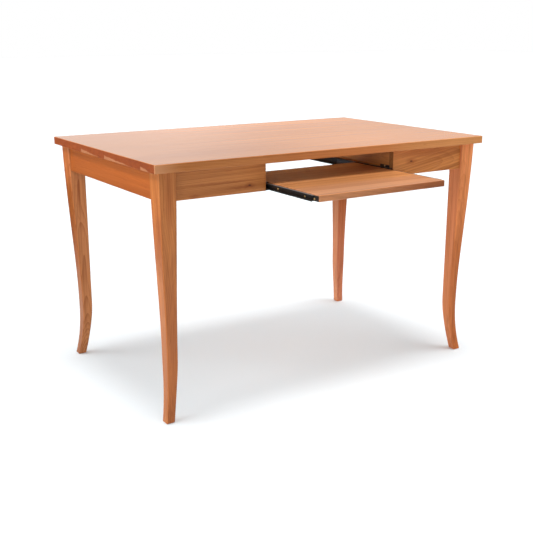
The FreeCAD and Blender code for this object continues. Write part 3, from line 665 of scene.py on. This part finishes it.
class DESK_OT_finish_top(bpy.types.Operator):
    """Gives the top its glued-up cherry boards"""
    bl_idname = "desk.finish_top"
    bl_label = "Finish the top"

    def execute(self, context):
        # Each board's own tint; the back board's is also paler as painted light
        tints = ((0.92, 1.00, 0.92), (0.97, 1.05, 0.86), (0.98, 1.05, 0.93), (1.08, 1.16, 1.05))
        boards = list(zip(context.scene.desk_boards.top_joints, tints))
        # Painted light: the top grows paler towards the right, where more light falls on it
        painted_light_right = graded("X", TOP_LOW.x + 0.01, TOP_LOW.x + 0.91, 0.82, 1.30)
        wood = cherry(
            "Top cherry", "X", shift=(0.40, 0.31, -0.70), heart=(0.0, 0.05, -0.03), tint=(0.90, 0.98, 0.90),
            boards=boards, rings=0.25, contrast=0.8, gloss=0.4, rubbed=0.18, grain_depth=0.000004,
            extras=[sapwood_corners, front_edge, painted_light_right])
        wear(wood, "desktop")
        return {"FINISHED"}


class DESK_OT_finish_legs(bpy.types.Operator):
    """Gives each leg cherry with upright grain"""
    bl_idname = "desk.finish_legs"
    bl_label = "Finish the legs"

    def execute(self, context):
        side = (0.0, 0.06, 0.05)
        looks = {
            "leg_front_left": dict(
                shift=(0.2, 0.35, -0.58), heart=side, tint=(0.94, 0.93, 0.92), rings=0.4, gloss=0.3,
                extras=[
                    # Painted light and shade on the front and left faces
                    painted_face_light(front=((0.81, 0.69, 0.61), (0.95, 0.93, 0.90)),
                          side=(even(1.06), (1.02, 0.98, 0.93))),
                    # Darker towards the foot, and painted shade under the top near the upper end
                    graded("Z", 0.0, 0.12, 0.88, 1.0),
                    graded("Z", 0.64, 0.71, 1.0, 0.91),
                    marks("leg_front_left",
                          streaks=[(0.0316, 0.66, 0.004, 0.03), (0.0076, 0.55, 0.0015, 0.05)]),
                ]),
            "leg_front_right": dict(
                shift=(1.9, 0.34, 0.60), heart=side, tint=(1.36, 1.29, 1.65), rings=0.2, gloss=0.2,
                extras=[
                    # Painted light and shade on the front and left faces
                    painted_face_light(front=((0.70, 0.57, 0.37), (0.99, 0.98, 0.94)),
                          side=((0.825, 0.84, 0.95), (0.81, 0.83, 0.95))),
                ]),
            "leg_back_left": dict(
                shift=(3.3, -0.35, -0.60), heart=(0.0, -0.01, -0.04), tint=(0.80, 0.86, 1.15), rings=0.8,
                gloss=0.2,
                extras=[
                    # Painted light and shade on the faces near the top, and a painted sheen low on the left
                    # face
                    painted_face_light(front=(even(0.95), even(0.95)), side=((0.82, 0.61, 0.28), (1.24, 1.02, 0.83)),
                          low=0.57, high=0.66),
                    painted_face_light(front=(even(1.0), even(1.0)), side=((0.96, 1.21, 2.35), even(1.0)),
                          low=0.15, high=0.40),
                    marks("leg_back_left", streaks=[(0.0286, 0.605, 0.0018, 0.018)]),
                ]),
            "leg_back_right": dict(
                shift=(4.7, -0.35, 0.55), heart=side, tint=(1.34, 1.29, 1.28), rings=0.2, gloss=0.25,
                extras=[
                    # Painted light and shade on the front and left faces
                    painted_face_light(front=((0.84, 0.75, 1.2), (0.48, 0.35, 0.22)),
                          side=((1.08, 1.22, 2.1), (0.60, 0.66, 1.1)), low=0.2, high=0.52),
                ]),
        }
        for name, look in looks.items():
            wear(cherry(f"{name} cherry", "Z", streaks=1.2, **look), name)
        return {"FINISHED"}


class DESK_OT_finish_rails(bpy.types.Operator):
    """Gives the aprons, partitions, glue blocks and buttons their cherry"""
    bl_idname = "desk.finish_rails"
    bl_label = "Finish the rails"

    def execute(self, context):
        heart = (0.0, 0.07, 0.02)
        cut_end = (0.5, 0.64, 0.82)
        apron_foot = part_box("apron_left")[0].z
        # The left apron grows darker towards its lower edge as painted shade
        wear(cherry("Left apron cherry", "Y", (0.6, -0.5, -0.68), heart, (0.85, 0.66, 0.50), streaks=0.6,
                    rings=0.15, gloss=0.2, extras=[graded("Z", apron_foot, apron_foot + 0.051, 0.90, 1.0)]),
             "apron_left")
        wear(cherry("Right apron cherry", "Y", (2.6, 0.55, -0.68), heart), "apron_right")
        wear(cherry("Back apron cherry", "X", (3.2, -0.30, -0.68), heart), "apron_back")
        left_marks = marks(
            "apron_front_left", knots=[(0.2640, 0.0212, 0.005, 0.0022)],
            streaks=[(0.2356, 0.0184, 0.014, 0.0012), (0.0836, 0.0064, 0.005, 0.0018),
                     (0.1606, 0.0364, 0.04, 0.001)])
        wear(cherry("Front left apron cherry", "X", (5.1, 0.38, -0.66), (0.0, 0.10, -0.15),
                    (0.88, 0.91, 0.98), rings=0.4, streaks=1.2, tilt=0.02, end_tint=cut_end,
                    extras=[left_marks]), "apron_front_left")
        right_marks = marks(
            "apron_front_right", knots=[(0.0765, 0.0427, 0.007, 0.0028)],
            streaks=[(0.1285, 0.0684, 0.035, 0.0045)])
        wear(cherry("Front right apron cherry", "X", (6.7, 0.33, -0.72), (0.0, 0.10, -0.12),
                    (1.02, 1.0, 0.9), rings=0.3, streaks=1.2, tilt=0.17, end_tint=cut_end,
                    extras=[right_marks]), "apron_front_right")
        wear(cherry("Partition cherry", "Y", (1.3, 0.2, -0.70), heart, (0.88, 1.08, 1.2)),
             "partition_left", "partition_right")
        wear(cherry("Block cherry", "X", (7.7, 0.12, -0.70), heart),
             "glue_block_left", "glue_block_right", "top_buttons")
        return {"FINISHED"}


class DESK_OT_finish_tray(bpy.types.Operator):
    """Gives the keyboard tray its glued-up cherry boards"""
    bl_idname = "desk.finish_tray"
    bl_label = "Finish the tray"

    def execute(self, context):
        tints = ((0.79, 0.97, 1.32), (0.74, 0.97, 1.45), (0.70, 1.1, 2.0))
        joints = [TRAY_LOW.y + joint for joint in context.scene.desk_boards.tray_joints]
        # Painted light: the tray grows paler towards the right, where more light falls on it
        painted_light_right = graded("X", TRAY_LOW.x + 0.129, TRAY_LOW.x + 0.429, 1.0, 1.22)
        wood = cherry(
            "Tray cherry", "X", shift=(2.1, 0.52, -0.64), heart=(0.0, 0.05, -0.02), tint=(0.80, 1.03, 1.8),
            boards=list(zip(joints, tints)), rings=0.3, streaks=1.2, gloss=1.0, grain_depth=0.00006,
            end_tint=(1.0, 0.95, 0.9), extras=[tray_edge, painted_light_right])
        wear(wood, "keyboard_tray")
        return {"FINISHED"}


class DESK_OT_finish_slides(bpy.types.Operator):
    """Coats the slides black and plates the ball cages"""
    bl_idname = "desk.finish_slides"
    bl_label = "Finish the slides"

    def execute(self, context):
        finish = context.scene.desk_finish
        runner_low, runner_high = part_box("tray_runner_left")
        middle = (runner_low.z + runner_high.z) / 2
        black = metal("Slide black", finish.slide_black, roughness=0.30, metallic=0.0, depth=0.3,
                      sheen=finish.painted_slide_sheen, sheen_level=middle)
        wear(black, "slide_channel_left", "slide_channel_right", "tray_runner_left", "tray_runner_right")
        zinc = metal("Cage zinc", finish.cage_zinc, roughness=0.35, metallic=1.0, depth=0.25)
        wear(zinc, "ball_cage_left", "ball_cage_right")
        return {"FINISHED"}


def islands(name):
    """The separate solids of a CAD node, each as a list of points."""
    mesh = bmesh.new()
    mesh.from_mesh(NODES[name].data)
    bmesh.ops.remove_doubles(mesh, verts=mesh.verts, dist=SAME_POINT)
    left = set(mesh.verts)
    found = []
    while left:
        grown = [left.pop()]
        for vert in grown:
            for edge in vert.link_edges:
                other = edge.other_vert(vert)
                if other in left:
                    left.remove(other)
                    grown.append(other)
        found.append([vert.co.copy() for vert in grown])
    mesh.free()
    return found


def box_of(points):
    return Vector(map(min, zip(*points))), Vector(map(max, zip(*points)))


def add_piece(name, mesh, material, body, slot, *replaced):
    """Makes an object of a bmesh, gives it its finish and lets it ride on a body in place of CAD nodes."""
    data = bpy.data.meshes.new(name)
    mesh.to_mesh(data)
    mesh.free()
    data.materials.append(material)
    piece = bpy.data.objects.new(name, data)
    bpy.context.scene.collection.objects.link(piece)
    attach(piece, body)
    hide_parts(*replaced)
    return piece


def spun(mesh, profile, steps):
    """Spins a profile of (radius, height) points about Z into a closed shape."""
    verts = [mesh.verts.new((radius, 0.0, height)) for radius, height in profile]
    edges = [mesh.edges.new(pair) for pair in zip(verts, verts[1:])]
    bmesh.ops.spin(mesh, geom=verts + edges, cent=(0, 0, 0), axis=(0, 0, 1), angle=2 * math.pi, steps=steps,
                   use_merge=True)
    bmesh.ops.remove_doubles(mesh, verts=mesh.verts, dist=SAME_SPUN_POINT)
    bmesh.ops.recalc_face_normals(mesh, faces=mesh.faces)
    for face in mesh.faces:
        face.smooth = True


class DESK_OT_make_balls(bpy.types.Operator):
    """Makes round bearing balls in place of the CAD ones"""
    bl_idname = "desk.make_balls"
    bl_label = "Make the balls"

    def execute(self, context):
        colour = context.scene.desk_finish.ball_steel
        steel = metal("Ball steel", colour, roughness=0.12, metallic=1.0, depth=0.1)
        for side in ("left", "right"):
            name = f"bearing_balls_{side}"
            mesh = bmesh.new()
            for points in islands(name):
                low, high = box_of(points)
                bmesh.ops.create_icosphere(mesh, subdivisions=BALL_ROUNDS, radius=(high.z - low.z) / 2,
                                           matrix=Matrix.Translation((low + high) / 2))
            for face in mesh.faces:
                face.smooth = True
            add_piece(f"round_balls_{side}", mesh, steel, "ball_cages", "cage_steel", name)
        return {"FINISHED"}


class DESK_OT_make_screws(bpy.types.Operator):
    """Makes round screws with threads and cross recesses in place of the CAD ones"""
    bl_idname = "desk.make_screws"
    bl_label = "Make the screws"

    def execute(self, context):
        colour = context.scene.desk_finish.screw_zinc
        zinc = metal("Screw zinc", colour, roughness=0.26, metallic=1.0, depth=0.35)
        for name, body, top in (("runner_screws", "tray", PAN_HEAD), ("button_screws", "desk", PAN_HEAD),
                                ("block_screws", "desk", PAN_HEAD), ("channel_screws", "desk", SUNK_HEAD)):
            screws = bmesh.new()
            for points in islands(name):
                head, way, length = self.lie(points)
                one = bmesh.new()
                spun(one, self.profile(length, top), SCREW_STEPS)
                self.recess(one)
                turn = Vector((0, 0, 1)).rotation_difference(way).to_matrix().to_4x4()
                one.transform(Matrix.Translation(head) @ turn)
                data = bpy.data.meshes.new("one_screw")
                one.to_mesh(data)
                one.free()
                screws.from_mesh(data)
                bpy.data.meshes.remove(data)
            add_piece(f"round_{name}", screws, zinc, body, "screw_zinc", name)
        return {"FINISHED"}

    def lie(self, points):
        """The middle of a CAD screw's head, the way it points from tip to head, and its length."""
        low, high = box_of(points)
        axis = max(range(3), key=lambda index: high[index] - low[index])
        length = high[axis] - low[axis]
        middle = (low + high) / 2
        widths = {}
        for sign in (-1, 1):
            reach = length / 2 - END_SLACK
            end = [point for point in points if (point[axis] - middle[axis]) * sign > reach]
            end_low, end_high = box_of(end)
            widths[sign] = (end_high - end_low).length
        way = Vector()
        way[axis] = 1 if widths[1] > widths[-1] else -1
        return middle + way * length / 2, way, length

    def profile(self, length, top):
        """Radius and height from the middle of the head's upper face down to the tip."""
        outline = list(top)
        height = outline[-1][1] - SCREW_NECK
        while height - THREAD_PITCH > SCREW_POINT - length:
            outline += [(THREAD_ROOT, height), (THREAD_CREST, height - THREAD_PITCH / 2)]
            height -= THREAD_PITCH
        outline += [(THREAD_ROOT, height), (0.0, -length)]
        return outline

    def recess(self, mesh):
        """Sinks a cross into the head by pulling down its middle and the inner points along four arms."""
        middle_depth, arm_depth, end_depth = CROSS_DEPTHS
        for vert in mesh.verts:
            if vert.co.z > CROSS_LEVEL:
                radius = math.hypot(vert.co.x, vert.co.y)
                arm = abs(math.cos(2 * math.atan2(vert.co.y, vert.co.x)))
                if radius < SAME_POINT:
                    vert.co.z -= middle_depth
                elif radius < CROSS_REACH and arm > CROSS_ARM:
                    vert.co.z -= arm_depth if radius < CROSS_INNER else end_depth


class DESK_OT_set_stage(bpy.types.Operator):
    """Sets the floor, the white studio, the lamps and the camera"""
    bl_idname = "desk.set_stage"
    bl_label = "Set the stage"

    def execute(self, context):
        scene = context.scene
        stage = scene.desk_stage
        floor = self.lay_floor(scene, stage)
        self.light_room(scene, stage)
        for name, lamp in SOFTBOXES.items():
            self.hang_softbox(scene, name, floor, **lamp)
        tray = [NODES[name] for name in ("keyboard_tray", "tray_runner_left", "tray_runner_right")]
        self.hang_sun(scene, "Overhead", OVERHEAD_TURN, stage.overhead_spread, stage.overhead_light,
                      spared=[floor], passed=tray)
        self.hang_sun(scene, "Floor overhead", OVERHEAD_TURN, stage.shadow_spread, stage.floor_light,
                      lit=[floor], passed=tray)
        for side, (turn, legs) in FLOOR_GLOWS.items():
            self.hang_sun(scene, f"{side} floor glow", turn, stage.glow_spread, stage.glow_light,
                          stage.glow_tint, lit=[floor], blocked=[NODES[name] for name in legs])
        self.set_camera(scene, stage)
        scene.view_settings.view_transform = "Standard"
        return {"FINISHED"}

    def lay_floor(self, scene, stage):
        """A wide pale floor that the desk's finish mirrors mostly near the desk."""
        mesh = bmesh.new()
        bmesh.ops.create_grid(mesh, x_segments=1, y_segments=1, size=FLOOR_REACH)
        data = bpy.data.meshes.new("floor")
        mesh.to_mesh(data)
        mesh.free()
        floor = bpy.data.objects.new("floor", data)
        floor.location.z = -FLOOR_DROP
        scene.collection.objects.link(floor)
        material = bpy.data.materials.new("Pale floor")
        material.use_nodes = True
        tree = material.node_tree
        tree.nodes.clear()
        diffuse = node(tree, "BsdfDiffuse", {"Color": opaque(stage.floor_tint)})
        seen = node(tree, "LightPath").outputs
        away = vectors(tree, "LENGTH", node(tree, "TexCoord").outputs["Object"])
        fade = ramped(tree, away, *FLOOR_FADE_RANGE, *FLOOR_FADE)
        dim = maths(tree, "MULTIPLY", seen["Is Glossy Ray"], fade)
        dark = node(tree, "Emission", {"Strength": 0.0})
        blend = node(tree, "MixShader", {0: dim, 1: diffuse.outputs[0], 2: dark.outputs[0]})
        under = node(tree, "NewGeometry").outputs["Backfacing"]
        clear = node(tree, "BsdfTransparent")
        surface = node(tree, "MixShader", {0: under, 1: blend.outputs[0], 2: clear.outputs[0]})
        node(tree, "OutputMaterial", {"Surface": surface.outputs[0]})
        data.materials.append(material)
        return floor

    def light_room(self, scene, stage):
        """A white studio: full white where seen, softer as light, and mirrored mostly at the backdrop."""
        world = bpy.data.worlds.new("White studio")
        world.use_nodes = True
        tree = world.node_tree
        back = tree.nodes["Background"]
        seen = node(tree, "LightPath").outputs
        way = node(tree, "TexCoord").outputs["Generated"]
        ahead = node(tree, "VectorMath", {0: way, 1: stage.backdrop_way}, operation="DOT_PRODUCT")
        levels = (stage.mirror_low, stage.mirror_wide, stage.mirror_near, stage.mirror_high)
        mirrored = stage.mirror_low
        for (start, full), level, higher in zip(BACKDROP_RISES, levels, levels[1:]):
            rise = ramped(tree, ahead.outputs["Value"], start, full, 0.0, higher - level)
            mirrored = maths(tree, "ADD", mirrored, rise)
        direct = maths(tree, "MAXIMUM", seen["Is Camera Ray"], seen["Is Transmission Ray"])
        lit = node(tree, "MapRange", {0: direct, 3: stage.room_light, 4: 1.0}).outputs[0]
        strength = node(tree, "Mix", {0: seen["Is Glossy Ray"], 2: lit, 3: mirrored}).outputs[0]
        back.inputs["Color"].default_value = (1.0, 1.0, 1.0, 1.0)
        tree.links.new(strength, back.inputs["Strength"])
        scene.world = world

    def hang_softbox(self, scene, name, floor, place, size, power, tint):
        """A lamp at one side that lights the desk and leaves the floor as it is."""
        lamp = bpy.data.lights.new(name, "AREA")
        lamp.size = size
        lamp.energy = power
        lamp.color = tint
        hung = bpy.data.objects.new(name, lamp)
        hung.location = place
        hung.rotation_euler = (SOFTBOX_AIM - hung.location).to_track_quat("-Z", "Y").to_euler()
        scene.collection.objects.link(hung)
        self.link_light(hung, "receiver", (), [floor])

    def hang_sun(self, scene, name, turn, spread, power, tint=(1.0, 1.0, 1.0), lit=(), spared=(), blocked=(),
                 passed=()):
        """Broad even light from one way that the finish doesn't mirror.

        It can light only some pieces or spare some, and be blocked only by some or pass some by.
        """
        lamp = bpy.data.lights.new(name, "SUN")
        lamp.energy = power
        lamp.color = tint
        lamp.angle = spread
        hung = bpy.data.objects.new(name, lamp)
        hung.rotation_euler = [math.radians(angle) for angle in turn]
        hung.visible_glossy = False
        scene.collection.objects.link(hung)
        self.link_light(hung, "receiver", lit, spared)
        self.link_light(hung, "blocker", blocked, passed)

    def link_light(self, hung, use, chosen, left_out):
        """Names the only pieces that a lamp lights or is blocked by, or the pieces left out of that."""
        if not chosen and not left_out:
            return
        linked = bpy.data.collections.new(f"{hung.name} {use}s")
        for index, piece in enumerate((*chosen, *left_out)):
            linked.objects.link(piece)
            state = "INCLUDE" if piece in chosen else "EXCLUDE"
            linked.collection_objects[index].light_linking.link_state = state
        setattr(hung.light_linking, f"{use}_collection", linked)

    def set_camera(self, scene, stage):
        camera = bpy.data.objects.new("Camera", bpy.data.cameras.new("Camera"))
        camera.data.lens = stage.camera_lens
        camera.data.sensor_width = SENSOR_WIDTH
        camera.location = stage.camera_place
        camera.rotation_euler = (math.pi / 2 - stage.camera_pitch, 0.0, stage.camera_yaw)
        scene.collection.objects.link(camera)
        scene.camera = camera


class DESK_PT_tools(bpy.types.Panel):
    """The desk's finishes and pieces"""
    bl_idname = "DESK_PT_tools"
    bl_label = "Writing desk"
    bl_space_type = "VIEW_3D"
    bl_region_type = "UI"
    bl_category = "Desk"

    def draw(self, context):
        for operator in OPERATORS:
            self.layout.operator(operator.bl_idname)
        for group in GROUPS:
            values = getattr(context.scene, group)
            box = self.layout.box()
            for name in values.bl_rna.properties.keys():
                if name not in ("rna_type", "name"):
                    box.prop(values, name)


OPERATORS = (
    DESK_OT_finish_top, DESK_OT_finish_legs, DESK_OT_finish_rails, DESK_OT_finish_tray,
    DESK_OT_finish_slides, DESK_OT_make_balls, DESK_OT_make_screws, DESK_OT_set_stage,
)
GROUPS = {"desk_finish": DeskFinish, "desk_boards": DeskBoards, "desk_stage": DeskStage}


def register():
    for group in GROUPS.values():
        bpy.utils.register_class(group)
    for name, group in GROUPS.items():
        setattr(bpy.types.Scene, name, bpy.props.PointerProperty(type=group))
    for operator in (*OPERATORS, DESK_PT_tools):
        bpy.utils.register_class(operator)


def unregister():
    for operator in (*OPERATORS, DESK_PT_tools):
        bpy.utils.unregister_class(operator)
    for name, group in GROUPS.items():
        delattr(bpy.types.Scene, name)
        bpy.utils.unregister_class(group)


def main():
    register()
    make_cherry_figure()
    make_sapwood()
    make_knot()
    make_mottle()
    bpy.ops.desk.finish_top()
    bpy.ops.desk.finish_legs()
    bpy.ops.desk.finish_rails()
    bpy.ops.desk.finish_tray()
    bpy.ops.desk.finish_slides()
    bpy.ops.desk.make_balls()
    bpy.ops.desk.make_screws()
    bpy.ops.desk.set_stage()


if __name__ == "__main__":
    main()
